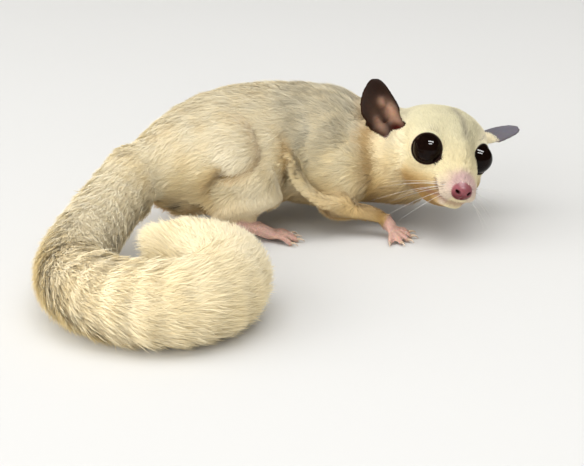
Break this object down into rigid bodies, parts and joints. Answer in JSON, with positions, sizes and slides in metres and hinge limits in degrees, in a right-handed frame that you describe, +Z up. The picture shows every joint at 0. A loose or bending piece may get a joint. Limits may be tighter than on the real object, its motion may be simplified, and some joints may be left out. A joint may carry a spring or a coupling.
{
  "type": "sugar glider figure",
  "caption": "Life-size sugar glider model crouched on all fours, head turned to one side, with a long furry tail curled on the ground beside it.",
  "frame": {"origin": "on the ground under the middle of the animal's bounding box", "axes": "+X the way the trunk faces, +Y towards the animal's left, +Z up; the ground is z = 0"},
  "size_m": [0.142, 0.1474, 0.0454],
  "materials": {
    "coat": "soft dense cream fur with a grey tinge over the back and shoulders",
    "paw_skin": "thin pinkish bare skin with short pale hairs and horn-coloured claws",
    "ear_skin": "thin, almost bare ear skin, dark brown on the right ear and lilac grey on the left",
    "nose_skin": "moist pink-red bare skin",
    "eye": "wet, glossy, almost black eyeball"
  },
  "bodies": {
    "root": {"eye_right": "eye", "eye_left": "eye", "nose": "nose_skin", "hand_right": "paw_skin", "hand_left": "paw_skin", "foot_right": "paw_skin", "foot_left": "paw_skin", "forearm_right": "coat", "shank_right": "coat", "upper_foreleg_right": "coat", "thigh_right": "coat", "gliding_membrane_right": "coat", "forearm_left": "coat", "shank_left": "coat", "upper_foreleg_left": "coat", "thigh_left": "coat", "gliding_membrane_left": "coat", "lower_jaw": "coat", "muzzle": "coat", "ear_right": "ear_skin", "ear_left": "ear_skin", "head": "coat", "neck": "coat", "chest": "coat", "loin": "coat", "rump": "coat", "tail_1": "coat", "tail_2": "coat", "tail_3": "coat", "tail_4": "coat", "tail_5": "coat", "tail_6": "coat"}
  },
  "joints": []
}
